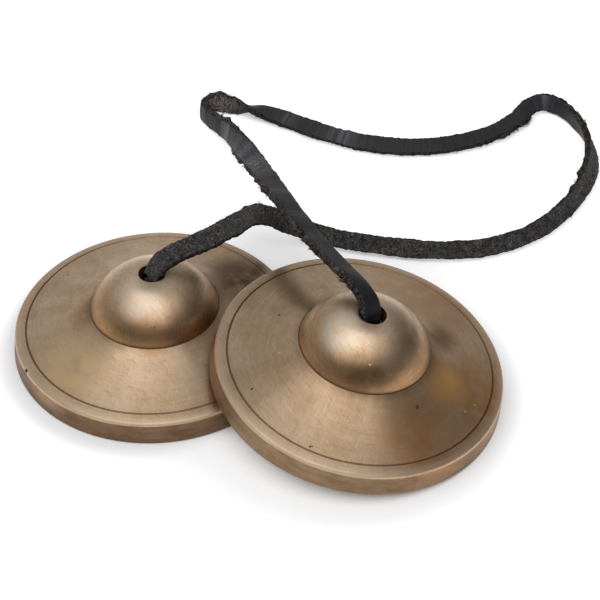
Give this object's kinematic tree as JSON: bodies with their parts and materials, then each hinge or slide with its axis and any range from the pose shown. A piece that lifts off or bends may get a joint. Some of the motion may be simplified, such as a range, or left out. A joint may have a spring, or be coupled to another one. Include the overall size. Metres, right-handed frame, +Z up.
{
  "type": "tingsha cymbals",
  "caption": "Small thick bronze hand cymbals with domed bosses, joined by a flat black leather strap knotted inside each boss; struck edge to edge to ring.",
  "frame": {"origin": "on the floor under the middle of the box around both cymbals", "axes": "+Z up, +X from the cymbal that lies flat towards the one that leans on it, +Y towards the strap's loop behind them"},
  "size_m": [0.1571, 0.1553, 0.0345],
  "materials": {
    "bronze": "lathe-turned and brushed in rings, with a light brown patina",
    "strap_leather": "black, smooth grain on one face, rough suede on the other, raw cut edges"
  },
  "bodies": {
    "flat_cymbal": {"left_cymbal": "bronze"},
    "flat_knot": {"left_knot": "strap_leather"},
    "strap": {"strap_left_end": "strap_leather", "strap_loop": "strap_leather", "strap_right_end": "strap_leather"},
    "leaning_knot": {"right_knot": "strap_leather"},
    "leaning_cymbal": {"right_cymbal": "bronze"}
  },
  "joints": [
    {"name": "strap_turn", "type": "hinge", "parent": "flat_cymbal", "child": "flat_knot", "pos_m": [-0.02483, 0.00955, 0.02284], "axis": [0, 0, 1], "continuous": true},
    {"name": "strap_lift", "type": "hinge", "parent": "flat_knot", "child": "strap", "pos_m": [-0.02483, 0.00955, 0.02284], "axis": [0.805, -0.5862, 0.0916], "range_deg": [0, 80], "deforming": ["strap_left_end"]},
    {"name": "strap_far_bend", "type": "hinge", "parent": "strap", "child": "leaning_knot", "pos_m": [0.02847, -0.0109, 0.02827], "axis": [-0.805, 0.5862, -0.0916], "range_deg": [0, 80], "deforming": ["strap_right_end"]},
    {"name": "cymbal_turn", "type": "hinge", "parent": "leaning_knot", "child": "leaning_cymbal", "pos_m": [0.02847, -0.0109, 0.02827], "axis": [0.1506, -0.0578, 0.9869], "continuous": true}
  ],
  "couplings": [
    {"joint": "strap_far_bend", "follows": "strap_lift", "ratio": 1}
  ]
}
